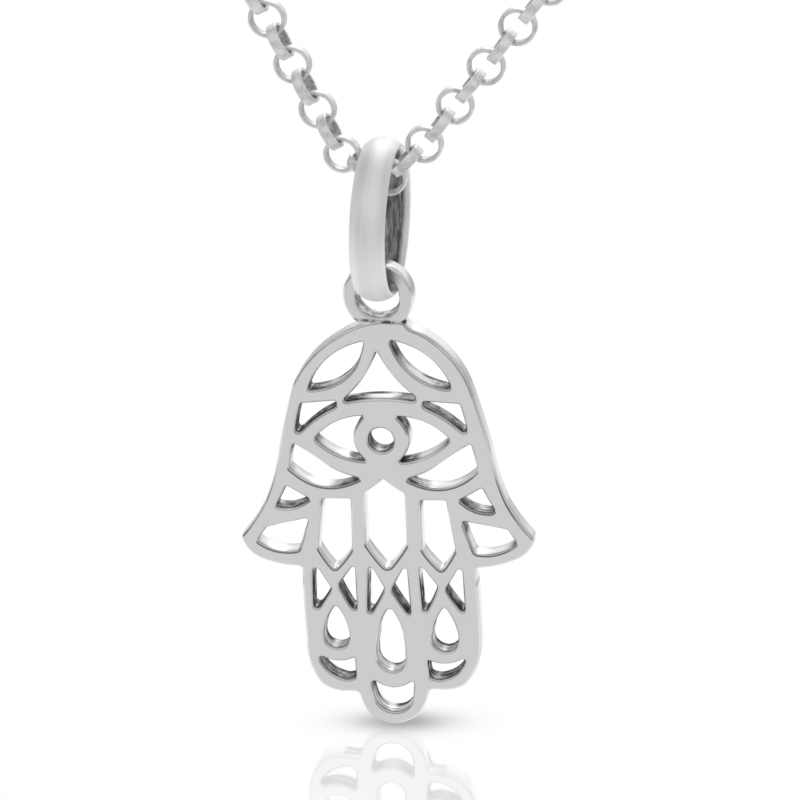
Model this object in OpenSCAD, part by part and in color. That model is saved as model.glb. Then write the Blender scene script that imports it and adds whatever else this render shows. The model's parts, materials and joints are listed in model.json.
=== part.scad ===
// Hand-shaped pierced pendant with its bail and neck chain, in millimetres.
// +Z is up, the flat face looks to -Y, and the origin is where the chain hangs at the nape.

/* [Hand] */
// Width of the hand across both thumb tips
hand_w = 20; // [14:0.5:28]
// Height of the hand from its top edge to the end of the middle finger
hand_h = 30; // [22:0.5:40]
// Thickness of the hand and its loop
hand_t = 1.4; // [1:0.1:2.4]
// Diameter of the pupil hole in the eye
pupil_d = 1.7; // [1:0.1:2.2]
// Lean of the hand in its own plane, its foot to the right, in degrees
hand_lean = 2.6; // [0:0.1:6]
// Rise of the hand's cross lines to the right, in degrees
hand_slant = 1.5; // [0:0.1:4]

/* [Loop of the hand] */
// Width of the flat band around the loop's hole
loop_band = 0.9; // [0.6:0.05:1.3]
// How far the hand's top edge lies inside the loop's rim
loop_sink = 0.7; // [0.4:0.02:0.8]
// How far the loop's middle lies to the right of the hand's middle line
loop_aside = 0.26; // [0:0.02:0.4]

/* [Bail] */
// Outer diameter of the bail ring
bail_od = 10.5; // [8.6:0.05:13]
// Width of the bail ring's band
bail_w = 2.25; // [1.6:0.05:2.4]
// Thickness of the bail's half-round band
bail_t = 0.65; // [0.5:0.05:1]
// Height of the band's upright edge below its dome
bail_edge = 0.2; // [0.15:0.01:0.3]
// How far the loop has slid to the left on the bail
loop_slide = 0.1; // [0:0.02:0.2]

/* [Chain] */
// Whole length of the necklace along the chain and its clasp
chain_len = 398; // [360:1:460]
// Outer diameter of one round link
link_od = 2.42; // [2.2:0.02:2.7]
// Thickness of a link's band, measured along its radius
link_t = 0.27; // [0.2:0.01:0.32]
// Width of a link's band
link_w = 0.68; // [0.5:0.02:0.8]
// Angle of the left strand from upright, in degrees
strand_left = 28.6; // [24:0.2:34]
// Angle of the right strand from upright, in degrees
strand_right = 36.1; // [30:0.1:38]
// Angle from upright of the first step up the left side, from the lowest link, in degrees
first_left = 65.5; // [62:0.1:67]
// Angle from upright of the first step up the right side, in degrees
first_right = 44.5; // [41:0.1:46]

/* [Clasp] */
// Outer diameter of the clasp ring
clasp_od = 6.6; // [6:0.1:8]
// Diameter of the clasp's round wire
clasp_wire = 1.1; // [0.8:0.05:1.2]
// Diameter of the clasp's thumb knob
knob_d = 0.8; // [0.6:0.05:0.8]

/* [Clearances] */
// Gap between neighbouring links, and between a link and the clasp
link_gap = 0.1; // [0.08:0.01:0.14]
// Gap between the bail's band and the loop's hole
loop_gap = 0.1; // [0.08:0.01:0.3]
// Gap between the bail and the links, beside it at rest and inside it over its swing
swing_gap = 0.1; // [0.08:0.01:0.2]

/* [Hidden] */
$fn = 64;
// A cut runs past the faces it goes through by this much
over = 1;
// Curved edges of the hand are made of pieces about this long
curve_step = 0.35;
// Flats across the bail's dome
dome_steps = 8;
// Radius inside a link, and where a band's edge crosses the middle of the link that it holds
link_bore = link_od / 2 - link_t;
band_reach = sqrt(pow(link_bore, 2) - pow(link_w / 2, 2));
band_slope = link_w / 2 / band_reach;
pitch = 2 * band_reach - link_gap * norm([1, band_slope, band_slope]);
// The clasp's ring, and the distance from its middle to that of the link that it holds
clasp_r = (clasp_od - clasp_wire) / 2;
clasp_reach = clasp_r + link_bore - clasp_wire / 2 - 1.5 * link_gap;
knob_l = 1.2;
// Steps between the links that lie flat in the chain's plane, as many on the left as on the right
chain_span = chain_len - 2 * clasp_reach;
spans = 2 * ceil(chain_span / (4 * pitch));
span = chain_span / spans;
// Half the angle between the strands, and the lean of the line midway between them
half_v = (strand_left + strand_right) / 2;
v_lean = (strand_right - strand_left) / 2;
// Lengths that the left and right strands would still need to meet below the lowest link
left_rest = span / sin(2 * half_v)
    * (sin(first_left + strand_right) + sin(first_right - strand_right));
right_rest = span / sin(2 * half_v)
    * (sin(first_right + strand_left) + sin(first_left - strand_left));
// Radius of the wide curve of the chain around the neck, its middle, and the straight strands
neck_r = (chain_len - 2 * span + left_rest + right_rest)
    / (2 / tan(half_v) + arc(180 + 2 * half_v));
neck_mid = neck_r / sin(half_v) * [sin(v_lean), cos(v_lean)]
    + span * [sin(first_right), cos(first_right)]
    - right_rest * [sin(strand_right), cos(strand_right)];
left_run = neck_r / tan(half_v) - left_rest;
right_run = neck_r / tan(half_v) - right_rest;
// Middle of the clasp, seen from the lowest link
nape = (link_place(0) + link_place(spans)) / 2;
low = -nape;
// The bail hangs on the links near the lowest one, just right of the flat link on its left,
// and swings about a line a little above the lowest link's middle
bail_bore = bail_od / 2 - bail_t;
bail_chamfer = bail_t / 5;
bail_x = low[0] - span * sin(first_left) + link_od / 2 + swing_gap + bail_w / 2;
swing_lift = 0.1;
swing_rise = span / 2 * cos(first_left) + link_w / 2 * sin(first_left) - swing_lift;
bail_z = low[1] + swing_lift + norm([link_od / 2, swing_rise]) + swing_gap - bail_bore;
// The loop's hole clears the corners of the bail's band, where they pass its faces
loop_rise = 0.8 * bail_t;
corner_rise = bail_bore + loop_rise
    - sqrt(pow(bail_bore + bail_chamfer, 2) - pow(hand_t / 2, 2));
loop_bore = norm([bail_w / 2 + loop_slide, corner_rise]) + loop_gap;
loop_r = loop_bore + loop_band;
loop_x = bail_x - loop_slide;
loop_z = bail_z - bail_bore - loop_rise;
// Height of the hand's top edge, from the middle of the loop
hand_top = loop_sink - loop_r;

// The tables give an outline, a row for each place where an edge ends:
// [across to the right, as a share of half the width; down, as a share of the height;
//  bow of the edge that ends here, outwards, as a share of its length;
//  across and down of the same place on the left; the bow there, where it differs]
// The outer outline, from the top to the end of the middle finger:
OUTLINE = [
    [0.178, 0.000, 0, 0.030, 0.000], [0.226, 0.020, 0, 0.168, 0.020],
    [0.320, 0.034, 0.02, 0.242, 0.034], [0.602, 0.152, 0.08, 0.572, 0.152],
    [0.729, 0.310, 0.01, 0.698, 0.310], [0.824, 0.433, -0.03, 0.812, 0.433],
    [0.995, 0.520, -0.035, 0.992, 0.521], [0.995, 0.533, 0.12, 0.990, 0.536],
    [0.862, 0.575, 0.1, 0.879, 0.578], [0.630, 0.594, 0.05, 0.625, 0.597],
    [0.598, 0.603, -0.2, 0.588, 0.606], [0.615, 0.783, 0.01, 0.590, 0.783],
    [0.505, 0.891, 0.09, 0.508, 0.898], [0.360, 0.908, 0.085, 0.360, 0.918],
    [0.275, 0.907, 0, 0.275, 0.917], [0.237, 0.920, -0.2, 0.242, 0.926],
    [0.177, 0.971, 0.04, 0.184, 0.975], [0.000, 1.000, 0.087, 0.000, 1.000]
];
// Openings that lie on the middle line, both halves of each from top to bottom
CENTRE_HOLES = [
    // Triangle between the leaves
    [[0.000, 0.072, 0, 0.000, 0.072], [0.240, 0.179, -0.063, 0.224, 0.183],
        [0.230, 0.190, 0.3, 0.226, 0.192], [0.000, 0.183, -0.03, 0.000, 0.183]],
    // Slot of the middle finger
    [[0.000, 0.378, 0, 0.000, 0.378], [0.120, 0.410, -0.03, 0.120, 0.410],
        [0.137, 0.418, 0.2, 0.133, 0.418], [0.138, 0.540, 0, 0.140, 0.539],
        [0.020, 0.597, 0.02, 0.021, 0.598], [0.000, 0.599, 0, 0.000, 0.599]],
    // Drop of the middle finger
    [[0.000, 0.702, 0, 0.000, 0.702], [0.028, 0.712, 0.15, 0.030, 0.711],
        [0.086, 0.780, 0.06, 0.090, 0.780], [0.088, 0.817, 0.04, 0.104, 0.817],
        [0.060, 0.853, 0.13, 0.062, 0.853], [0.000, 0.862, 0.09, 0.000, 0.862]],
    // Crescent at the middle finger's tip
    [[0.000, 0.906, 0, 0.000, 0.906], [0.129, 0.888, -0.08, 0.132, 0.888],
        [0.139, 0.897, 0.25, 0.149, 0.897], [0.121, 0.939, 0.03, 0.126, 0.939],
        [0.000, 0.968, 0.16, 0.000, 0.968]]
];
// Openings that stand in pairs, both of each clockwise from the right one's top
SIDE_HOLES = [
    // Leaf
    [[0.092, 0.047, 0.155, 0.083, 0.050, 0.19], [0.477, 0.152, 0.132, 0.464, 0.156],
        [0.457, 0.161, 0.3, 0.459, 0.164]],
    // Triangle over the eye
    [[0.296, 0.191, 0.25, 0.293, 0.190], [0.533, 0.197, 0, 0.527, 0.197],
        [0.573, 0.257, 0.02, 0.572, 0.259], [0.547, 0.263, 0.3, 0.547, 0.266],
        [0.307, 0.206, -0.05, 0.306, 0.206]],
    // White of the eye
    [[0.111, 0.227, -0.238, 0.110, 0.226], [0.456, 0.281, 0.112, 0.445, 0.280],
        [0.449, 0.285, 0, 0.441, 0.284], [0.113, 0.337, 0.097, 0.111, 0.334]],
    // Crescent under the eye
    [[0.595, 0.292, 0.02, 0.594, 0.293], [0.633, 0.350, 0.02, 0.633, 0.351],
        [0.620, 0.361, 0.2, 0.615, 0.359], [0.173, 0.382, 0.183, 0.172, 0.381],
        [0.168, 0.377, 0.2, 0.160, 0.377], [0.352, 0.349, -0.04, 0.355, 0.351]],
    // Wedge over the thumb
    [[0.660, 0.398, 0, 0.662, 0.397], [0.735, 0.447, -0.02, 0.737, 0.444],
        [0.725, 0.458, 0.3, 0.723, 0.450], [0.519, 0.431, 0.12, 0.516, 0.431],
        [0.505, 0.429, 0.2, 0.508, 0.429]],
    // Thumb
    [[0.543, 0.481, 0.3, 0.546, 0.478], [0.821, 0.499, 0, 0.815, 0.500],
        [0.878, 0.531, 0, 0.880, 0.531], [0.861, 0.538, 0.3, 0.867, 0.540],
        [0.620, 0.560, 0.105, 0.621, 0.558], [0.592, 0.553, 0.25, 0.598, 0.551],
        [0.522, 0.483, 0, 0.529, 0.483]],
    // Slot of the side finger
    [[0.252, 0.430, 0.2, 0.248, 0.428], [0.415, 0.430, 0, 0.422, 0.428],
        [0.421, 0.450, 0.03, 0.427, 0.450], [0.465, 0.550, 0, 0.468, 0.549],
        [0.378, 0.600, 0.03, 0.377, 0.600], [0.349, 0.599, 0.3, 0.348, 0.600],
        [0.243, 0.552, 0.03, 0.239, 0.552], [0.244, 0.433, 0, 0.230, 0.431]],
    // Outer and inner opening beside the side finger's cross
    [[0.477, 0.599, 0, 0.480, 0.603], [0.506, 0.603, 0.1, 0.514, 0.603],
        [0.514, 0.699, 0, 0.526, 0.699], [0.494, 0.705, 0.2, 0.491, 0.702],
        [0.390, 0.650, 0.02, 0.397, 0.652]],
    [[0.213, 0.598, 0, 0.226, 0.599], [0.243, 0.599, 0.2, 0.249, 0.599],
        [0.335, 0.643, 0, 0.341, 0.642], [0.255, 0.704, 0.02, 0.255, 0.703],
        [0.228, 0.703, 0.2, 0.228, 0.701]],
    // Opening beside the middle finger's cross
    [[0.102, 0.601, 0, 0.102, 0.602], [0.129, 0.601, 0.2, 0.132, 0.599],
        [0.141, 0.708, 0, 0.152, 0.706], [0.128, 0.714, 0.2, 0.126, 0.711],
        [0.021, 0.652, 0.02, 0.031, 0.650]],
    // Drop of the side finger
    [[0.373, 0.697, 0.05, 0.372, 0.697], [0.395, 0.705, 0.15, 0.395, 0.705],
        [0.456, 0.757, 0.05, 0.459, 0.757], [0.461, 0.778, 0.06, 0.465, 0.778],
        [0.377, 0.809, 0.2, 0.375, 0.805], [0.283, 0.778, 0.2, 0.290, 0.778],
        [0.293, 0.757, 0.06, 0.295, 0.757], [0.351, 0.705, 0.05, 0.350, 0.705]],
    // Crescent at the side finger's tip
    [[0.247, 0.832, 0, 0.262, 0.829], [0.487, 0.827, -0.135, 0.488, 0.828],
        [0.502, 0.833, 0.3, 0.507, 0.833], [0.329, 0.881, 0.135, 0.328, 0.886],
        [0.273, 0.878, 0.05, 0.271, 0.881], [0.254, 0.871, 0.2, 0.262, 0.873]]
];
// Middle of the pupil, as a share of the hand's height
PUPIL_DOWN = 0.283;

// Length of an arc of radius 1
function arc(degrees) = degrees * PI / 180;
function turned(radians) = radians * 180 / PI;

// A row's place on the hand, and a bowed edge from one place to the next
function place(row) = [row[0] * hand_w / 2, hand_top - row[1] * hand_h];
function edge(a, b, bow) =
    let (d = b - a, n = bow == 0 ? 1 : max(3, ceil(norm(d) / curve_step)))
    [for (i = [1:n]) a + d * i / n + [-d[1], d[0]] * 4 * bow * (i / n) * (1 - i / n)];
function ring_of(rows) = [
    for (i = [0:len(rows) - 1])
        each edge(place(rows[(i + len(rows) - 1) % len(rows)]), place(rows[i]), rows[i][2])
];
function half_of(rows) = [
    place(rows[0]),
    for (i = [1:len(rows) - 1]) each edge(place(rows[i - 1]), place(rows[i]), rows[i][2])
];
// The cross lines' slant, and both halves of an outline that crosses the middle line
function slanted(points) = [for (p = points) [p[0], p[1] + p[0] * tan(hand_slant)]];
function closed(right, left) = slanted(concat(right, [
    for (i = [len(left) - 1:-1:0]) if (left[i][0] > 0) [-left[i][0], left[i][1]]
]));
function on_left(rows) = [for (row = rows) [row[3], row[4], len(row) > 5 ? row[5] : row[2]]];

// A place on the chain, at a length along it from the lowest link's middle, up either side
function strand(s, side, first, angle, run) =
    let (up = s - span, a = turned(max(0, up - run) / neck_r) - angle)
    up < 0 ? s * [side * sin(first), cos(first)]
    : up < run ? [side * (span * sin(first) + up * sin(angle)), span * cos(first) + up * cos(angle)]
    : neck_mid + neck_r * [side * cos(a), sin(a)];
function right_place(s) = strand(s, 1, first_right, strand_right, right_run);
function left_place(s) = strand(s, -1, first_left, strand_left, left_run);
// The middle of a flat link, seen from the lowest one and from the nape
function link_place(i) =
    i < spans / 2 ? left_place((spans / 2 - i) * span) : right_place((i - spans / 2) * span);
function flat_link(i) = link_place(i) - nape;

// One link, and any piece set on the line between two places with its axis across that line
module link() {
    difference() {
        cylinder(h = link_w, d = link_od, center = true);
        cylinder(h = link_w + over, r = link_bore, center = true);
    }
}

module across(a, b) {
    middle = (a + b) / 2;
    d = b - a;
    translate([middle[0], 0, middle[1]])
        rotate([0, atan2(-d[1], d[0]), 0])
            children();
}

module hand_flat() {
    difference() {
        polygon(closed(half_of(OUTLINE), half_of(on_left(OUTLINE))));
        for (hole = CENTRE_HOLES) polygon(closed(half_of(hole), half_of(on_left(hole))));
        for (hole = SIDE_HOLES) {
            polygon(slanted(ring_of(hole)));
            polygon(slanted([for (p = ring_of(on_left(hole))) [-p[0], p[1]]]));
        }
    }
}

module hamsa() {
    color("silver")
        translate([loop_x, 0, loop_z])
            rotate([90, -hand_lean, 0])
                difference() {
                    union() {
                        translate([-loop_aside, 0, 0])
                            linear_extrude(height = hand_t, center = true) hand_flat();
                        cylinder(h = hand_t, r = loop_r, center = true);
                    }
                    cylinder(h = hand_t + over, r = loop_bore, center = true);
                    translate([-loop_aside, hand_top - PUPIL_DOWN * hand_h, 0])
                        cylinder(h = hand_t + over, d = pupil_d, center = true);
                }
}

// The bail's half-round section, flat inside, as [radius, place along the axis]
module bail_section() {
    half = bail_w / 2;
    dome = bail_t - bail_edge;
    dome_r = (pow(half, 2) + pow(dome, 2)) / (2 * dome);
    dome_a = asin(half / dome_r);
    crown = bail_od / 2 - dome_r;
    polygon(concat(
        [[bail_bore + bail_chamfer, half], [bail_bore, half - bail_chamfer],
            [bail_bore, bail_chamfer - half], [bail_bore + bail_chamfer, -half]],
        [for (i = [0:dome_steps])
            let (a = dome_a * (2 * i / dome_steps - 1))
            [crown + dome_r * cos(a), dome_r * sin(a)]]
    ));
}

module bail() {
    color("silver")
        translate([bail_x, 0, bail_z])
            rotate([0, 90, 0])
                rotate_extrude() bail_section();
}

module chain() {
    color("gainsboro") {
        for (i = [0:spans])
            translate([flat_link(i)[0], 0, flat_link(i)[1]]) rotate([90, 0, 0]) link();
        for (i = [1:spans])
            across(flat_link(i - 1), flat_link(i)) link();
    }
}

module clasp() {
    color("gainsboro")
        across(flat_link(spans), flat_link(0)) {
            rotate_extrude() translate([clasp_r, 0]) circle(d = clasp_wire);
            rotate([0, 0, 45]) translate([clasp_r, 0, 0])
                rotate([0, 90, 0]) cylinder(h = knob_l, d = knob_d);
        }
}

hamsa();
bail();
chain();
clasp();
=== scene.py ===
"""Looks of the hand-shaped silver pendant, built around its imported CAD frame."""
import json
import math

import bpy
import numpy as np
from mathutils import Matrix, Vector
from mathutils.geometry import delaunay_2d_cdt


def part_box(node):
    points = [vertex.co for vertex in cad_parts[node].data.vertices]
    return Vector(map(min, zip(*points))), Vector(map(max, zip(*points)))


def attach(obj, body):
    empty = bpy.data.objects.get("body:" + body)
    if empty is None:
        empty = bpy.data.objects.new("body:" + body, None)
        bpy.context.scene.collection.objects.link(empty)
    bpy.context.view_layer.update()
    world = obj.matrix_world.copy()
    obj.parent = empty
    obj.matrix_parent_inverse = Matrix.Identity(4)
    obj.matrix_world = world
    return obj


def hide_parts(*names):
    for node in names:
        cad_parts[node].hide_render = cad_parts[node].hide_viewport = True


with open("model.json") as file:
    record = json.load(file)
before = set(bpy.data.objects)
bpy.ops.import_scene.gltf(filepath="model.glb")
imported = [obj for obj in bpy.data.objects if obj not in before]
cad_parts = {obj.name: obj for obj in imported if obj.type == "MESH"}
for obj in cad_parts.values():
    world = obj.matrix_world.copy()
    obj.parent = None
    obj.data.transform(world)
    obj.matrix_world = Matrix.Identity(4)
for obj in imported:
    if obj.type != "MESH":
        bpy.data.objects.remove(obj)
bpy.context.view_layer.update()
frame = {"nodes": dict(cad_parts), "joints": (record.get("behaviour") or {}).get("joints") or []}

# Lengths here are in mm and angles in degrees, unless a comment says otherwise. Materials work in
# metres, and the scales of their noise are for each metre
MM = 0.001

# Places in the frame: the middle of the hand's loop, the bail's middle, and the floor under the hand
FLOOR_GAP = 0.32
JOINTS = {joint["name"]: joint for joint in frame["joints"]}
LOOP = np.array(JOINTS["hand_rock"]["pos_m"]) / MM
BAIL = np.array([(a + b) / 2 for a, b in zip(*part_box("bail"))]) / MM
FLOOR_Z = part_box("hamsa")[0].z / MM - FLOOR_GAP

# Hand: half its thickness, the rounding of its edges, and the step between the points of its outlines
HALF_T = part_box("hamsa")[1].y / MM
ROUND = 0.22
ROUND_STEPS = 6
WALL_ROWS = 2
OUTLINE_STEP = 0.1
MITRE_LIMIT = 1.5

# Openness of a wall: how far it is looked at, in which directions, and from how far off the wall
LOOK_FAR = 2.2
LOOK_TURNS = (-66, -44, -22, 0, 22, 44, 66)
LOOK_START = 0.02

# Loop: its stand back from the hand's faces, its rounding, and the seam's height under its middle
LOOP_BACK = 0.04
LOOP_ROUND = 0.2
LOOP_ROUND_STEPS = 6
LOOP_STEPS = 120
LOOP_TOUCH = 0.01
SEAM_DROP = 1.62
SEAM_STEPS = 16

# Seam stain: its lift over the seam, and where it fades out in height and in width
SEAM_LIFT = 0.04
SEAM_HIGH = (0.04, 0.18)
SEAM_WIDE = (1.7, 2.2)

# Zones of the hand by height over the loop's middle: the leaves' lower end, then low and high ends
LEAVES_END = (-7.6, -7.1)
LIDS = (-15.2, -12.2)
SLOT_POINTS = (-20.3, -17.4)
CROSSES = (-23.7, -20.1)
DROPS = (-33.0, -24.3)
ZONE_SOFT = 0.3

# Depths in the hand's walls, from the back face or from the front face, between which a look changes; the
# first pair bounds the painted shade at the rear
REAR_DARK = (0.72, 0.42)
BACK_SATIN = (0.06, 0.01)
FRONT_MARKS = (0.2, 0.6)

# Bail: its thickness, its thickness at the edges, its corners, and the bright lip inside each edge
BAIL_T = 0.65
BAIL_EDGE = 0.2
BAIL_ROUND = 0.12
BAIL_LIP = 0.3
BAIL_LIP_SOFT = 0.14
DOME_STEPS = 24
CORNER_STEPS = 5
BORE_STEPS = 16
BAIL_STEPS = 160

# Chain links: their section, and the spread of their slight tilt, as a share of the axis
LINK_OD, LINK_T, LINK_W = 2.4, 0.26, 0.68
LINK_ROUND = 0.08
LINK_ROUND_STEPS = 3
LINK_STEPS = 44
LINK_TILT = 0.02

# Kinds of link: whether they face the viewer, how dark their painted shade inside is, and how far that goes
# outward
LINK_KINDS = (("chain_facing_links", True, 0.6, 0.06), ("chain_cross_links", False, 1.0, 0.03))

# Clasp ring and its thumb knob, which is turned round a very thin core
CLASP_R, CLASP_WIRE, KNOB_D, KNOB_L = 2.75, 1.1, 0.8, 1.2
CLASP_STEPS = 96
WIRE_STEPS = 24
KNOB_STEPS = 40
KNOB_ROUND = 0.12
KNOB_ROUND_STEPS = 5
KNOB_CORE = 0.02
KNOB_CLEAR = 0.3

# Greys of the silver: a pair lies at the two ends of a noise, and a stain, which on the hand and the chain is
# mixed with painted shade, has a grey of its own
HAND_GREYS, HAND_STAIN_AND_SHADE = (0.85, 0.875), 0.12
BACK_GREYS = (0.66, 0.76)
WALL_GREY, SCORE_GREY = 0.97, 0.6
LOOP_GREYS, LOOP_STAIN = (0.80, 0.88), 0.1
BAIL_GREYS, BAIL_TARNISH = (0.88, 0.99), (0.42, 0.1)
CHAIN_GREYS, CHAIN_STAIN_AND_SHADE = (0.9, 0.98), 0.2
CLASP_GREYS, CLASP_WEAR = (0.8, 0.88), 0.3

# Roughness of the silver, in the same way
HAND_ROUGH, BACK_ROUGH, WALL_ROUGH = (0.17, 0.22), 0.34, 0.3
LOOP_ROUGH = (0.24, 0.32)
BAIL_ROUGH = (0.54, 0.64)
CHAIN_ROUGH = (0.46, 0.56)
CLASP_ROUGH = (0.16, 0.26)
STAIN_ROUGH = 0.45

# Depth of the silver's bumps, and the scales along X, Y and Z of the noise that is stretched
BUMP_DEPTH = 0.1
WALL_STREAKS = (420.0, 7500.0, 420.0)
BAIL_LINES = (1500.0, 70.0, 70.0)
BAIL_GRAIN = (5200.0, 900.0, 900.0)

# Floor: half its width in metres, how rough its mirror is, and how much it mirrors, which goes over
# from one share to another between two depths in metres
FLOOR_HALF = 6.0
FLOOR_ROUGH = 0.05
MIRROR_NEAR = (-0.014, -0.007, 0.17, 0.32)
MIRROR_FAR = (-0.004, 0.0, 0.32, 0.14)

# Floor as the silver sees it, a glow of painted light: its greys in front and elsewhere, and the distances in
# metres over which it darkens to another grey, in front and behind
CARD_GREYS = (0.70, 0.98)
CARD_END, CARD_DARK = (0.2, 0.36), 0.15
REAR_END, REAR_GREY = (0.088, 0.108), 0.5

# Shade under the hand: each axis with its shift and size, and the depth of the shade
SHADE_LONG = ((0.985, 0.174, 0.0), 0.25, 2.4)
SHADE_SHORT = ((-0.174, 0.985, 0.0), 0.3, 0.98)
SHADE_UPRIGHT = ((0.0, 0.0, 1.0), 0.0, 3.0)
SHADE_DEEP = 0.7

# Light tent: the greys of its front from low to high, and the angles up from the front horizon between
# which they change and between which it is white again
FRONT_GREYS = (0.86, 0.5)
FRONT_RISE = (20, 110)
REAR_FALL = (124, 150)

# Dark bands of the tent, each with its low and high edge, its softness and its depth
FRONT_BAND = (-4, 13, 3, 0.65)
BACK_BAND = (-5, 2, 2, 0.9)
TOP_GAP = (108, 130, 4, 0.92)

# Lamp behind and over the pendant: place and size in metres, energy in watts
LAMP_PLACE = (0.0, 0.85, 0.75)
LAMP_SIZE = 0.7
LAMP_ENERGY = 3.0

# Camera: its place from the loop's middle, and the way that it looks
CAMERA_FROM_LOOP = (29.958, -162.194, 65.931)
AZIMUTH, ELEVATION = math.radians(10), math.radians(24)
LENS, SENSOR = 123.75, 36.0


# Geometry
def welded(node):
    """A CAD node's points, one for each place, and its triangles."""
    mesh = frame["nodes"][node].data
    places = np.empty(len(mesh.vertices) * 3)
    mesh.vertices.foreach_get("co", places)
    places = np.round(places.reshape(-1, 3) / MM, 5)
    mesh.calc_loop_triangles()
    corners = np.empty(len(mesh.loop_triangles) * 3, int)
    mesh.loop_triangles.foreach_get("vertices", corners)
    points, index = np.unique(places, axis=0, return_inverse=True)
    return points, index.reshape(-1)[corners].reshape(-1, 3)


def face_outlines(node, y):
    """Closed outlines of the node's flat face at that y, as (x, z), with the metal on their left."""
    points, triangles = welded(node)
    flat = triangles[np.all(np.abs(points[triangles, 1] - y) < 1e-4, axis=1)]
    edges = {(a, b) for t in flat for a, b in ((t[0], t[1]), (t[1], t[2]), (t[2], t[0]))}
    follows = {a: b for a, b in edges if (b, a) not in edges}
    outlines = []
    while follows:
        start, place = follows.popitem()
        ring = [start]
        while place != start:
            ring.append(place)
            place = follows.pop(place)
        outlines.append(points[ring][:, [0, 2]])
    return outlines


def area(ring):
    """The area inside the ring, above zero where it turns to the left."""
    x, z = ring.T
    return 0.5 * np.sum(x * np.roll(z, -1) - z * np.roll(x, -1))


def evened(ring, passes=2):
    """The closed ring in short even steps, its corners slightly rounded."""
    points = []
    for a, b in zip(ring, np.roll(ring, -1, 0)):
        count = max(1, round(np.linalg.norm(b - a) / OUTLINE_STEP))
        points.extend(a + (b - a) * i / count for i in range(count))
    ring = np.array(points)
    for _ in range(passes):
        ring = (np.roll(ring, 1, 0) + 2 * ring + np.roll(ring, -1, 0)) / 4
    return ring


def inward(ring):
    """Unit vectors into the metal, and how far a point moves for each mm of inset."""
    along = np.roll(ring, -1, 0) - ring
    along /= np.maximum(np.linalg.norm(along, axis=1, keepdims=True), 1e-9)
    left = np.stack([-along[:, 1], along[:, 0]], 1)
    both = left + np.roll(left, 1, 0)
    size = np.maximum(np.linalg.norm(both, axis=1, keepdims=True), 1e-6)
    return both / size, np.minimum(2 / size, MITRE_LIMIT)


def inset(ring, distance, steps=4):
    """The ring moved into the metal, its points kept from crowding at tight corners."""
    for _ in range(steps):
        unit, stretch = inward(ring)
        ring = ring + unit * stretch * distance / steps
        near = (np.roll(ring, 1, 0) + np.roll(ring, -1, 0)) / 2
        gap = np.linalg.norm(np.roll(ring, -1, 0) - np.roll(ring, 1, 0), axis=1, keepdims=True)
        ring = np.where(gap < OUTLINE_STEP, near, ring)
    return ring


def openness(ring):
    """How open the space beside each point of a wall is, from 0 in a tight corner to 1."""
    unit = -inward(ring)[0]
    a, b = ring, np.roll(ring, -1, 0)
    edge = b - a
    total = np.zeros(len(ring))
    weights = 0
    for turn in np.radians(LOOK_TURNS):
        c, s = math.cos(turn), math.sin(turn)
        ray = np.stack([unit[:, 0] * c - unit[:, 1] * s, unit[:, 0] * s + unit[:, 1] * c], 1)
        start = ring + ray * LOOK_START
        cross = ray[:, None, 0] * edge[None, :, 1] - ray[:, None, 1] * edge[None, :, 0]
        to = a[None] - start[:, None]
        with np.errstate(divide="ignore", invalid="ignore"):
            far = (to[..., 0] * edge[None, :, 1] - to[..., 1] * edge[None, :, 0]) / cross
            at = (to[..., 0] * ray[:, None, 1] - to[..., 1] * ray[:, None, 0]) / cross
        far = np.where((far > 0) & (at >= 0) & (at <= 1), far, LOOK_FAR)
        total += c * np.minimum(far.min(1), LOOK_FAR) / LOOK_FAR
        weights += c
    return total / weights


def build(name, points, faces, normals=None, marks=None):
    """A mesh object with smooth shading, by the given normals where there are any."""
    mesh = bpy.data.meshes.new(name)
    mesh.from_pydata((np.asarray(points) * MM).tolist(), [], [list(map(int, f)) for f in faces])
    mesh.shade_smooth()
    for label, values in (marks or {}).items():
        mesh.attributes.new(label, "FLOAT", "POINT").data.foreach_set("value", np.asarray(values, np.float32))
    if normals is not None:
        mesh.normals_split_custom_set_from_vertices(np.asarray(normals).tolist())
    mesh.validate()
    thing = bpy.data.objects.new(name, mesh)
    bpy.context.scene.collection.objects.link(thing)
    return thing


def wall_levels(ring, half, rounding):
    """Rows of a wall's points from the front face to the back face, each with its y, bend and side."""
    rows = []
    rounded = ring
    done = 0
    for k in range(ROUND_STEPS + 1):
        bend = math.radians(90 * k / ROUND_STEPS)
        move = rounding * (1 - math.cos(bend))
        rounded = inset(rounded, move - done) if move > done else rounded
        done = move
        rows.append((rounded, half - rounding * (1 - math.sin(bend)), bend))
    low, high = -rows[0][1], rows[0][1]
    levels = [(row, -y, bend, -1) for row, y, bend in reversed(rows)]
    levels += [(ring, low + (high - low) * k / WALL_ROWS, 0, 1) for k in range(1, WALL_ROWS)]
    return levels + [(row, y, bend, 1) for row, y, bend in rows]


def face_triangles(points, rings):
    """Triangles over the flat face between rings of point numbers, its openings left out."""
    flat = [i for ring in rings for i in ring]
    place = {p: k for k, p in enumerate(flat)}
    edges = [(place[ring[i]], place[ring[(i + 1) % len(ring)]]) for ring in rings for i in range(len(ring))]
    spots = [Vector((points[i][0], points[i][2])) for i in flat]
    new, _, fill, kept, _, _ = delaunay_2d_cdt(spots, edges, [], 0, 1e-7)
    origin = [flat[k[0]] if k else None for k in kept]
    fill = [f for f in fill if all(origin[i] is not None for i in f)]
    middles = np.array([np.mean([new[i] for i in f], 0) for f in fill])
    inside = np.zeros(len(middles), bool)
    for ring in rings:
        corners = np.array([(points[i][0], points[i][2]) for i in ring])
        for (ax, az), (bx, bz) in zip(corners, np.roll(corners, -1, 0)):
            if az != bz:
                over = (az > middles[:, 1]) != (bz > middles[:, 1])
                inside ^= over & (middles[:, 0] < ax + (middles[:, 1] - az) / (bz - az) * (bx - ax))
    return [[origin[i] for i in f] for f, keep in zip(fill, inside) if keep]


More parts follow.
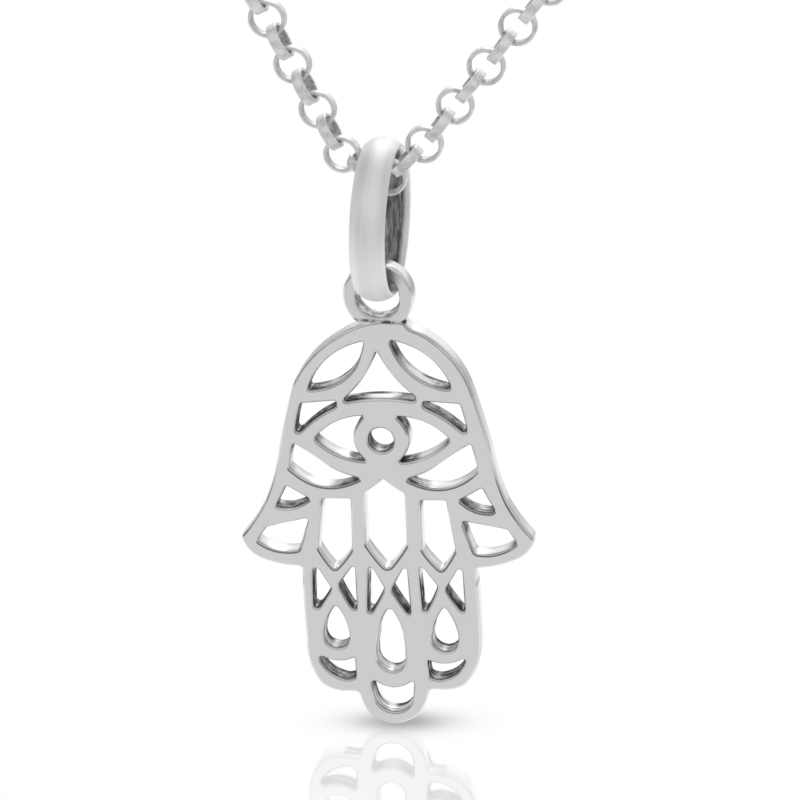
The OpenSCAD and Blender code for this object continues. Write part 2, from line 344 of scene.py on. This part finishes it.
def plate(name, outlines, half, rounding):
    """A flat pierced plate with rounded edges, its face to -Y."""
    points, normals, wall, opened, upward, faces = [], [], [], [], [], []
    rims = {-1: [], 1: []}
    for ring in outlines:
        count = len(ring)
        unit = inward(ring)[0]
        room = openness(ring)
        levels = wall_levels(ring, half, rounding)
        first = len(points)
        for row, y, bend, side in levels:
            for i in range(count):
                points.append((row[i, 0], y, row[i, 1]))
                out = -unit[i] * math.cos(bend)
                normals.append((out[0], side * math.sin(bend), out[1]))
                wall.append(math.cos(bend) ** 2)
                opened.append(room[i])
                upward.append(-unit[i][1])
        for k in range(len(levels) - 1):
            a = first + k * count
            for i in range(count):
                j = (i + 1) % count
                faces.append((a + i, a + count + i, a + count + j, a + j))
        last = first + (len(levels) - 1) * count
        rims[-1].append(range(first, first + count))
        rims[1].append(range(last, last + count))
    for side, rings in rims.items():
        faces.extend(face if side < 0 else face[::-1] for face in face_triangles(points, rings))
    return build(name, points, faces, normals, {"wall": wall, "open": opened, "up": upward})


def lathe(profile, middle, axis, steps):
    """Points and faces of a closed profile of (radius, along) turned about an axis through the middle."""
    profile = np.array(profile, float)
    count = len(profile)
    axis = np.array(axis, float) / np.linalg.norm(axis)
    side = np.cross(axis, (0.0, 1.0, 0.0) if abs(axis[1]) < 0.9 else (1.0, 0.0, 0.0))
    side /= np.linalg.norm(side)
    third = np.cross(axis, side)
    points, faces = [], []
    for i in range(steps):
        a = 2 * math.pi * i / steps
        out = side * math.cos(a) + third * math.sin(a)
        points.extend(np.array(middle) + out * r + axis * h for r, h in profile)
        j = (i + 1) % steps
        for k in range(count):
            m = (k + 1) % count
            faces.append((i * count + k, i * count + m, j * count + m, j * count + k))
    return points, faces


def turned(name, profile, middle, axis, steps, marks=None):
    """A lathe shape as an object. Each mark has one value for each point of the profile."""
    points, faces = lathe(profile, middle, axis, steps)
    marks = {label: list(values) * steps for label, values in (marks or {}).items()}
    return build(name, points, faces, marks=marks)


def rounded_band(inner, outer, half, rounding, steps):
    """Section of a band with rounded corners, as (radius, along)."""
    section = []
    corners = [(outer, half, 0), (inner, half, 90), (inner, -half, 180), (outer, -half, 270)]
    for radius, height, start in corners:
        r = radius - rounding if radius == outer else radius + rounding
        h = height - math.copysign(rounding, height)
        for k in range(steps + 1):
            a = math.radians(start + 90 * k / steps)
            section.append((r + rounding * math.cos(a), h + rounding * math.sin(a)))
    return section


# Materials
class Graph:
    """Short names for making nodes and linking them."""

    def __init__(self, tree):
        self.tree = tree
        tree.nodes.clear()

    def node(self, kind, out=0, inputs=None, **settings):
        """One output of a new node."""
        made = self.tree.nodes.new(kind)
        for key, value in settings.items():
            setattr(made, key, value)
        for key, value in (inputs or {}).items():
            self.feed(made.inputs[key], value)
        return made.outputs[out] if len(made.outputs) else made

    def feed(self, socket, value):
        """A link or a plain value into the socket."""
        if isinstance(value, bpy.types.NodeSocket):
            self.tree.links.new(value, socket)
        else:
            socket.default_value = value

    def math(self, operation, *values):
        return self.node("ShaderNodeMath", operation=operation, inputs=dict(enumerate(values)))

    def vector(self, operation, *values, out="Vector"):
        return self.node("ShaderNodeVectorMath", out=out, operation=operation, inputs=dict(enumerate(values)))

    def times(self, first, *others):
        """The product of all the values."""
        for other in others:
            first = self.math("MULTIPLY", first, other)
        return first

    def most(self, a, b):
        return self.math("MAXIMUM", a, b)

    def axis(self, vector, name):
        return self.node("ShaderNodeSeparateXYZ", out=name, inputs={0: vector})

    def smooth(self, value, low, high, start=0.0, end=1.0):
        """From start at low to end at high, softly."""
        return self.node("ShaderNodeMapRange", interpolation_type="SMOOTHSTEP",
                         inputs={0: value, 1: low, 2: high, 3: start, 4: end})

    def fade(self, value, low, high):
        """From 1 at low to 0 at high."""
        return self.smooth(value, low, high, 1.0, 0.0)

    def dip(self, value, low, high, soft, depth):
        """1 - depth between low and high, and 1 elsewhere."""
        rise = self.smooth(value, low - soft, low + soft)
        fall = self.smooth(value, high - soft, high + soft)
        return self.math("SUBTRACT", 1.0, self.times(self.math("SUBTRACT", rise, fall), depth))

    def noise(self, place, scale, detail=2.0, rough=0.5):
        return self.node("ShaderNodeTexNoise", inputs={
            "Vector": place, "Scale": scale, "Detail": detail, "Roughness": rough})

    def streaks(self, place, stretch, detail, rough):
        """Noise with its own scale along each axis."""
        return self.noise(self.node("ShaderNodeMapping", inputs={0: place, 3: stretch}), 1.0, detail, rough)

    def mix(self, factor, a, b):
        """A colour between a and b."""
        return self.node("ShaderNodeMix", out=2, data_type="RGBA", inputs={0: factor, 6: a, 7: b})

    def greys(self, factor, ends):
        """A colour between two greys."""
        return self.mix(factor, grey(ends[0]), grey(ends[1]))

    def blend(self, factor, a, b):
        """A number between a and b."""
        return self.node("ShaderNodeMix", data_type="FLOAT", inputs={0: factor, 2: a, 3: b})


def grey(value):
    return (value, value, value, 1.0)


def metal(name, looks, dull_edges=False):
    """Silver whose colour, roughness, height and bump come from looks(graph, place)."""
    material = bpy.data.materials.new(name)
    material.use_nodes = True
    g = Graph(material.node_tree)
    place = g.node("ShaderNodeTexCoord", out="Object")
    colour, rough, height, bump = looks(g, place)
    rise = g.node("ShaderNodeBump", inputs={"Strength": bump, "Distance": BUMP_DEPTH * MM, "Height": height})
    inputs = {"Base Color": colour, "Metallic": 1.0, "Roughness": rough, "Normal": rise}
    if dull_edges:
        inputs["Specular Tint"] = g.smooth(colour, 0.1, 0.6, 0.05, 1.0)
    shader = g.node("ShaderNodeBsdfPrincipled", inputs=inputs)
    g.node("ShaderNodeOutputMaterial", inputs={"Surface": shader})
    material.metallic = 1.0
    return material


def mark(g, name):
    """A piece's own number at each place."""
    return g.node("ShaderNodeAttribute", out="Fac", attribute_name=name)


def zone(g, level, low, high):
    """1 between two heights and 0 elsewhere, where level is in metres."""
    over = g.smooth(level, (low - ZONE_SOFT) * MM, (low + ZONE_SOFT) * MM)
    return g.times(over, g.fade(level, (high - ZONE_SOFT) * MM, (high + ZONE_SOFT) * MM))


def seam_stain(g, place):
    """Dark solder marks where the loop's ring meets the hand's top edge."""
    from_loop = g.vector("SUBTRACT", place, (LOOP * MM).tolist())
    high = g.math("ABSOLUTE", g.math("ADD", g.axis(from_loop, "Z"), (SEAM_DROP + SEAM_LIFT) * MM))
    across = g.math("ABSOLUTE", g.axis(from_loop, "X"))
    near = g.times(g.fade(high, *[v * MM for v in SEAM_HIGH]), g.fade(across, *[v * MM for v in SEAM_WIDE]))
    return g.times(near, g.smooth(g.noise(place, 1500.0), 0.42, 0.6, 0.15, 1.0))


def hand_looks(g, place):
    """Bright faces; walls with painted dark lines along their edges, and painted shade and no polish where
    they are narrow.
    """
    wall = mark(g, "wall")
    up = g.smooth(mark(g, "up"), 0.1, 0.4)
    room = mark(g, "open")
    hole = g.fade(room, 0.955, 0.985)
    depth = g.axis(place, "Y")
    level = g.math("SUBTRACT", g.axis(place, "Z"), LOOP[2] * MM)
    leaves = g.smooth(level, *[v * MM for v in LEAVES_END])
    lids, points, crosses, drops = [zone(g, level, *ends) for ends in (LIDS, SLOT_POINTS, CROSSES, DROPS)]
    drops = g.times(drops, hole)
    streaks = g.streaks(place, WALL_STREAKS, 3.0, 0.6)
    blotches = g.noise(place, 1700.0, 3.0, 0.6)
    soft = g.noise(place, 700.0, 3.0)

    # Narrow walls get painted shade in patches, as a tight recess would: less so at the points of the slots,
    # most beside the crosses
    narrow = g.times(g.fade(room, 0.6, 0.92), g.smooth(points, 0.0, 1.0, 1.0, 0.25))
    narrow = g.most(narrow, g.times(crosses, hole, 0.9))
    patchy = g.times(g.smooth(streaks, 0.32, 0.62, 0.65, 1.0), g.smooth(blotches, 0.32, 0.6, 0.65, 1.0))

    # The walls' rear part gets painted shade in broken bands, on walls that face up and mostly in the leaves
    # and the drops
    lined = g.most(leaves, drops)
    rear = g.times(hole, g.smooth(depth, *[(HALF_T - v) * MM for v in REAR_DARK]), g.most(lined, 0.3))
    broken = g.times(g.most(up, g.times(lined, 0.8)), g.smooth(g.noise(place, 420.0), 0.36, 0.54, 0.3, 0.95))
    scratches = g.times(drops, g.smooth(streaks, 0.48, 0.6, 0.0, 0.6))
    # Real solder stains and scratches are joined here with painted shade and painted dark reflections
    stain_and_shade = g.most(g.times(narrow, patchy), g.times(rear, broken))
    stain_and_shade = g.times(g.most(stain_and_shade, scratches), wall)
    stain_and_shade = g.most(stain_and_shade, seam_stain(g, place))

    # A painted dark reflection follows the front edges that face up, most of all at the lids and the slots'
    # points
    edge = g.times(g.smooth(wall, 0.03, 0.14), g.fade(wall, 0.3, 0.6), g.fade(depth, 0.0, 0.0001))
    faint = g.smooth(g.noise(place, 330.0), 0.36, 0.6, 0.1, 0.5)
    edge = g.times(edge, g.blend(g.most(lids, points), faint, 0.9), up)
    stain_and_shade = g.most(stain_and_shade, edge)

    # The back face is satin. Fine lines score the walls, most of all in the drops and near the front face
    back = g.smooth(depth, *[(HALF_T - v) * MM for v in BACK_SATIN])
    clean = g.mix(back, g.greys(soft, HAND_GREYS), g.greys(streaks, BACK_GREYS))
    front = g.blend(drops, g.fade(depth, *[(v - HALF_T) * MM for v in FRONT_MARKS]), 0.9)
    lines = g.times(g.blend(front, 0.25, 1.0), g.smooth(streaks, 0.36, 0.56, 0.35, 1.0))
    scored = g.mix(g.times(wall, lines), g.mix(wall, clean, grey(WALL_GREY)), grey(SCORE_GREY))
    rough = g.blend(back, g.smooth(soft, 0.3, 0.7, *HAND_ROUGH), BACK_ROUGH)
    rough = g.blend(stain_and_shade, g.blend(wall, rough, WALL_ROUGH), STAIN_ROUGH)
    height = g.math("ADD", g.times(soft, 0.3), g.times(wall, streaks))
    # One dark grey shows both the stains and the painted shade
    return g.mix(stain_and_shade, scored, grey(HAND_STAIN_AND_SHADE)), rough, height, 0.12


def loop_looks(g, place):
    """A cast ring, softly dented, darker at its seam and inside."""
    soft = g.noise(place, 900.0, 3.0)
    dents = g.noise(place, 2600.0)
    inner = g.smooth(mark(g, "inside"), 0.2, 0.9)
    stain_and_shade = g.most(g.times(inner, g.smooth(dents, 0.35, 0.65, 0.2, 0.75)), seam_stain(g, place))
    rough = g.blend(stain_and_shade, g.smooth(soft, 0.3, 0.7, *LOOP_ROUGH), STAIN_ROUGH)
    height = g.math("ADD", soft, g.times(dents, 0.25))
    return g.mix(stain_and_shade, g.greys(soft, LOOP_GREYS), grey(LOOP_STAIN)), rough, height, 0.25


def bail_looks(g, place):
    """Satin with marks running round the ring; scratched and dark inside."""
    inside = mark(g, "inside")
    lines = g.streaks(place, BAIL_LINES, 3.0, 0.55)
    grain = g.streaks(place, BAIL_GRAIN, 4.0, 0.65)
    satin = g.greys(g.smooth(lines, 0.3, 0.7), BAIL_GREYS)
    tarnish = g.greys(g.smooth(grain, 0.3, 0.68), BAIL_TARNISH)
    rough = g.blend(inside, g.smooth(lines, 0.3, 0.7, *BAIL_ROUGH), STAIN_ROUGH)
    height = g.math("ADD", g.times(lines, 0.4), g.times(g.math("ADD", inside, 0.1), grain))
    return g.mix(inside, satin, tarnish), rough, height, 0.3


def chain_looks(g, place):
    """Drawn band links, lightly worn, with a little tarnish, and painted shade inside each link."""
    soft = g.noise(place, 1300.0, 3.0)
    fine = g.noise(place, 5200.0)
    off_line = g.math("ABSOLUTE", g.math("SUBTRACT", g.noise(place, 700.0, 1.0), 0.5))
    scratch = g.smooth(off_line, 0.0, 0.02, 0.24, 0.0)
    # Painted shade inside each link's bore
    inner = g.times(mark(g, "inside"), g.smooth(fine, 0.35, 0.65, 0.4, 0.7))
    stain_and_shade = g.most(g.most(g.smooth(soft, 0.5, 0.75, 0.0, 0.35), scratch), inner)
    rough = g.smooth(soft, 0.3, 0.7, *CHAIN_ROUGH)
    height = g.math("ADD", soft, g.times(fine, 0.2))
    return g.mix(stain_and_shade, g.greys(soft, CHAIN_GREYS), grey(CHAIN_STAIN_AND_SHADE)), rough, height, 0.2


def clasp_looks(g, place):
    """Polished round wire with fine wear."""
    soft = g.noise(place, 800.0, 3.0)
    fine = g.noise(place, 5000.0, 3.0, 0.6)
    worn = g.mix(g.smooth(fine, 0.6, 0.8, 0.0, 0.5), g.greys(soft, CLASP_GREYS), grey(CLASP_WEAR))
    return worn, g.smooth(soft, 0.3, 0.7, *CLASP_ROUGH), fine, 0.08


hand_silver = metal("hand_silver", hand_looks, dull_edges=True)
loop_silver = metal("loop_silver", loop_looks)
bail_silver = metal("bail_silver", bail_looks)
chain_silver = metal("chain_silver", chain_looks)
clasp_silver = metal("clasp_silver", clasp_looks)


def dressed(piece, material, body, slot, *nodes):
    """Gives a piece its material and its body, and hides the CAD nodes that it replaces. The slot is not
    used.
    """
    piece.data.materials.append(material)
    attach(piece, body)
    for node in nodes:
        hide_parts(node)


# Hand and its loop
def without_loop(outer, centre, rim):
    """The hand's outline, closed under the loop by its own top edge."""
    on_loop = np.linalg.norm(outer - centre, axis=1) < rim + LOOP_TOUCH
    start = next(i for i in range(len(outer)) if on_loop[i - 1] and not on_loop[i])
    shoulders = np.roll(outer, 1 - start, 0)
    shoulders = shoulders[: np.count_nonzero(~on_loop) + 2]
    left, right = shoulders[0], shoulders[-1]
    rise = centre[1] - SEAM_DROP - (left[1] + right[1]) / 2
    seam = []
    for k in range(1, SEAM_STEPS):
        t = k / SEAM_STEPS
        seam.append(right + (left - right) * t + np.array([0, rise]) * 4 * t * (1 - t))
    return np.vstack([shoulders, seam])


def hand_pieces():
    """The pierced plate, which is given back, and the ring on its top edge."""
    outlines = sorted(face_outlines("hamsa", -HALF_T), key=lambda ring: -abs(area(ring)))
    outer, holes = outlines[0], outlines[1:]
    centre = LOOP[[0, 2]]
    loop_hole = min(holes, key=lambda ring: np.linalg.norm(ring.mean(0) - centre))
    openings = [ring for ring in holes if ring is not loop_hole]
    bore = np.linalg.norm(loop_hole - centre, axis=1).mean()
    rim = np.linalg.norm(outer - centre, axis=1).min()

    rings = [evened(ring) for ring in [without_loop(outer, centre, rim)] + openings]
    hand = plate("hand_plate", rings, HALF_T, ROUND)
    dressed(hand, hand_silver, "pendant", "hand_silver", "hamsa")

    band = rounded_band(bore, rim, HALF_T - LOOP_BACK, LOOP_ROUND, LOOP_ROUND_STEPS)
    inside = [max(0.0, 1 - (r - bore) / LOOP_ROUND) for r, _ in band]
    loop = turned("hand_loop", band, LOOP, (0, 1, 0), LOOP_STEPS, {"inside": inside})
    dressed(loop, loop_silver, "pendant", "hand_silver")
    return hand


# Bail
def bail_section(half_w, outer_r):
    """The bail's section, domed outside and flat inside, and how dark each of its points is."""
    bore_r = outer_r - BAIL_T
    dome = BAIL_T - BAIL_EDGE
    dome_r = (half_w ** 2 + dome ** 2) / (2 * dome)
    dome_a = math.asin(half_w / dome_r)
    outside = []
    for k in range(DOME_STEPS + 1):
        a = dome_a * (2 * k / DOME_STEPS - 1)
        outside.append((outer_r - dome_r + dome_r * math.cos(a), dome_r * math.sin(a)))
    corner = []
    for k in range(CORNER_STEPS + 1):
        a = math.radians(90 * k / CORNER_STEPS)
        along = half_w - BAIL_ROUND + BAIL_ROUND * math.cos(a)
        corner.append((bore_r + BAIL_ROUND - BAIL_ROUND * math.sin(a), along))
    bore = [(bore_r, (half_w - BAIL_ROUND) * (1 - 2 * k / BORE_STEPS)) for k in range(1, BORE_STEPS)]
    dark = [min(1.0, max(0.0, (half_w - BAIL_LIP - abs(along)) / BAIL_LIP_SOFT)) for _, along in bore]
    section = outside + corner + bore + [(r, -along) for r, along in reversed(corner)]
    inside = [0.0] * len(outside + corner) + dark + [0.0] * len(corner)
    return section[::-1], inside[::-1]


def bail_piece():
    """The bail's ring, as wide and as high as in the frame."""
    bail_lo, bail_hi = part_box("bail")
    half_w = (bail_hi.x - bail_lo.x) / MM / 2
    outer_r = (bail_hi.z - bail_lo.z) / MM / 2
    section, inside = bail_section(half_w, outer_r)
    bail = turned("bail_ring", section, BAIL, (1, 0, 0), BAIL_STEPS, {"inside": inside})
    dressed(bail, bail_silver, "bail_ring", "bail_silver", "bail")


# Chain
def thin_way(points):
    """The direction in which a cloud of points is thinnest."""
    return np.linalg.eigh(np.cov(points.T))[1][:, 0]


def solids(node):
    """The middle and the thinnest direction of each loose solid of a node."""
    points, triangles = welded(node)
    root = np.arange(len(points))
    while True:
        low = root[triangles].min(1)
        new = root.copy()
        for k in range(3):
            np.minimum.at(new, triangles[:, k], low)
        new = new[new]
        if np.array_equal(new, root):
            break
        root = new
    found = []
    for label in np.unique(root):
        own = points[root == label]
        found.append((own.mean(0), thin_way(own - own.mean(0))))
    return found


def chain_pieces():
    """The links that face the viewer and the links that cross them, as one piece each."""
    bore = LINK_OD / 2 - LINK_T
    band = rounded_band(bore, LINK_OD / 2, LINK_W / 2, LINK_ROUND, LINK_ROUND_STEPS)
    tilts = np.random.default_rng(7)
    links = []
    for middle, axis in solids("chain"):
        axis = axis + tilts.normal(0, LINK_TILT, 3)
        links.append((middle, axis / np.linalg.norm(axis)))
    for name, facing, dark, reach in LINK_KINDS:
        shade = [dark if r < bore + reach else 0.0 for r, _ in band]
        all_points, all_faces, shades = [], [], []
        for middle, axis in links:
            if (abs(axis[1]) > 0.9) == facing:
                points, faces = lathe(band, middle, axis, LINK_STEPS)
                first = len(all_points)
                all_points.extend(points)
                all_faces.extend([i + first for i in f] for f in faces)
                shades.extend(shade * LINK_STEPS)
        piece = build(name, all_points, all_faces, marks={"inside": shades})
        dressed(piece, chain_silver, "necklace", "chain_silver", "chain")


# Clasp
def clasp_pieces():
    """The plain ring at the nape and its thumb knob."""
    places = welded("clasp")[0]
    axis = thin_way(places)
    axis = axis * np.sign(axis[2])
    wire = [(CLASP_R + CLASP_WIRE / 2 * math.cos(a), CLASP_WIRE / 2 * math.sin(a))
            for a in np.linspace(0, 2 * math.pi, WIRE_STEPS, endpoint=False)]
    clasp = turned("clasp_ring", wire, (0, 0, 0), axis, CLASP_STEPS)
    dressed(clasp, clasp_silver, "necklace", "clasp_silver", "clasp")

    far = places[np.linalg.norm(places, axis=1) > CLASP_R + CLASP_WIRE / 2 + KNOB_CLEAR]
    knob_axis = far.mean(0) / np.linalg.norm(far.mean(0))
    core_r, core_l = KNOB_D / 2 - KNOB_ROUND, KNOB_L - KNOB_ROUND
    end = [(core_r + KNOB_ROUND * math.cos(a), core_l + KNOB_ROUND * math.sin(a))
           for a in np.linspace(0, math.pi / 2, KNOB_ROUND_STEPS + 1)]
    section = [(KNOB_CORE, 0.0), (KNOB_D / 2, 0.0)] + end + [(KNOB_CORE, KNOB_L)]
    knob = turned("clasp_knob", section, knob_axis * CLASP_R, knob_axis, KNOB_STEPS)
    dressed(knob, clasp_silver, "necklace", "clasp_silver", "clasp")


# Stage
def card_light(g, at):
    """How bright the silver sees the floor, by direction and distance from the place under the loop."""
    offset = g.vector("SUBTRACT", at, (LOOP[0] * MM, 0.0, 0.0))
    flat = g.vector("MULTIPLY", offset, (1.0, 1.0, 0.0))
    distance = g.vector("LENGTH", flat, out="Value")
    behind = g.axis(g.vector("NORMALIZE", flat), "Y")
    end = g.smooth(distance, *CARD_END, 1.0, CARD_DARK)
    rear_end = g.smooth(distance, *REAR_END, 1.0, REAR_GREY)
    ends = g.blend(g.smooth(behind, 0.1, 0.5), end, rear_end)
    return g.times(g.smooth(behind, -0.75, -0.25, *CARD_GREYS), ends)


def hand_shade(g, hand):
    """1, and less under the hand's lowest point, which the shade follows as the hand moves."""
    points = welded("hamsa")[0]
    tip = points[np.argmin(points[:, 2])]
    at = g.node("ShaderNodeTexCoord", out="Object", object=hand)
    under = g.vector("SUBTRACT", at, [v * MM for v in (tip[0], 0.0, FLOOR_Z)])
    spread = 0.0
    for direction, shift, size in (SHADE_LONG, SHADE_SHORT, SHADE_UPRIGHT):
        along = g.vector("DOT_PRODUCT", under, direction, out="Value")
        along = g.math("DIVIDE", g.math("SUBTRACT", along, shift * MM), size * MM)
        spread = g.math("ADD", spread, g.times(along, along))
    return g.math("SUBTRACT", 1.0, g.times(g.math("EXPONENT", g.times(spread, -0.5)), SHADE_DEEP))


def floor_material(hand):
    """White with a painted shadow and a soft mirror for the camera, and a glowing grey card, painted light,
    for what the silver reflects.
    """
    pale = bpy.data.materials.new("pale_floor")
    pale.use_nodes = True
    g = Graph(pale.node_tree)
    at = g.node("ShaderNodeTexCoord", out="Object")
    # The floor glows here: painted light that only the silver's reflections see
    mirrored = g.node("ShaderNodeEmission", inputs={0: grey(1.0), 1: card_light(g, at)})
    plain = g.node("ShaderNodeEmission", inputs={0: grey(1.0), 1: hand_shade(g, hand)})
    gloss = g.node("ShaderNodeBsdfAnisotropic", inputs={"Color": grey(1.0), "Roughness": FLOOR_ROUGH})
    depth = g.axis(at, "Y")
    share = g.math("MINIMUM", g.smooth(depth, *MIRROR_NEAR), g.smooth(depth, *MIRROR_FAR))
    shown = g.node("ShaderNodeMixShader", inputs={0: share, 1: plain, 2: gloss})
    seen = g.node("ShaderNodeLightPath", out="Is Camera Ray")
    both = g.node("ShaderNodeMixShader", inputs={0: seen, 1: mirrored, 2: shown})
    g.node("ShaderNodeOutputMaterial", inputs={"Surface": both})
    return pale


def floor_piece(hand):
    """The floor, a plain square under the hand."""
    mesh = bpy.data.meshes.new("floor")
    signs = ((-1, -1), (1, -1), (1, 1), (-1, 1))
    mesh.from_pydata([(x * FLOOR_HALF, y * FLOOR_HALF, FLOOR_Z * MM) for x, y in signs], [], [(0, 1, 2, 3)])
    floor = bpy.data.objects.new("floor", mesh)
    bpy.context.scene.collection.objects.link(floor)
    mesh.materials.append(floor_material(hand))


def light_tent():
    """A white studio for the camera, and a tent with dark bands for what the silver reflects."""
    world = bpy.data.worlds.new("studio")
    bpy.context.scene.world = world
    world.use_nodes = True
    g = Graph(world.node_tree)
    way = g.node("ShaderNodeTexCoord", out="Generated")
    y, z = g.axis(way, "Y"), g.axis(way, "Z")
    rise = g.times(g.math("ARCSINE", z), 180 / math.pi)
    over = g.times(g.math("ARCTAN2", z, g.times(y, -1.0)), 180 / math.pi)
    above = g.blend(g.smooth(over, *REAR_FALL), g.smooth(over, *FRONT_RISE, *FRONT_GREYS), 1.0)
    front_band = g.blend(g.fade(y, -0.35, -0.05), 1.0, g.dip(rise, *FRONT_BAND))
    back_band = g.blend(g.smooth(y, 0.05, 0.35), 1.0, g.dip(rise, *BACK_BAND))
    gap = g.blend(g.smooth(z, 0.2, 0.35), 1.0, g.dip(over, *TOP_GAP))
    tent = g.times(front_band, back_band, g.times(gap, above))
    light = g.blend(g.node("ShaderNodeLightPath", out="Is Camera Ray"), tent, 1.0)
    sky = g.node("ShaderNodeBackground", inputs={0: grey(1.0), 1: light})
    g.node("ShaderNodeOutputWorld", inputs={0: sky})


def rear_lamp():
    """A round softbox that looks at the floor from behind and over the pendant."""
    lamp = bpy.data.lights.new("rear_softbox", "AREA")
    lamp.shape = "DISK"
    lamp.size = LAMP_SIZE
    lamp.energy = LAMP_ENERGY
    holder = bpy.data.objects.new("rear_softbox", lamp)
    holder.location = LAMP_PLACE
    look = Vector((0.0, 0.0, FLOOR_Z * MM)) - holder.location
    holder.rotation_euler = look.to_track_quat("-Z", "Y").to_euler()
    holder.visible_camera = False
    bpy.context.scene.collection.objects.link(holder)


def photo_camera():
    """The photo's view, from the right and above."""
    data = bpy.data.cameras.new("camera")
    data.lens = LENS
    data.sensor_width = SENSOR
    data.clip_start = 0.01
    data.clip_end = 50.0
    camera = bpy.data.objects.new("camera", data)
    camera.location = ((LOOP + CAMERA_FROM_LOOP) * MM).tolist()
    flat = math.cos(ELEVATION)
    look = Vector((-math.sin(AZIMUTH) * flat, math.cos(AZIMUTH) * flat, -math.sin(ELEVATION)))
    camera.rotation_euler = look.to_track_quat("-Z", "Y").to_euler()
    bpy.context.scene.collection.objects.link(camera)
    bpy.context.scene.camera = camera
    bpy.context.scene.view_settings.view_transform = "Standard"
    bpy.context.scene.view_settings.look = "None"


hand = hand_pieces()
bail_piece()
chain_pieces()
clasp_pieces()
floor_piece(hand)
light_tent()
rear_lamp()
photo_camera()
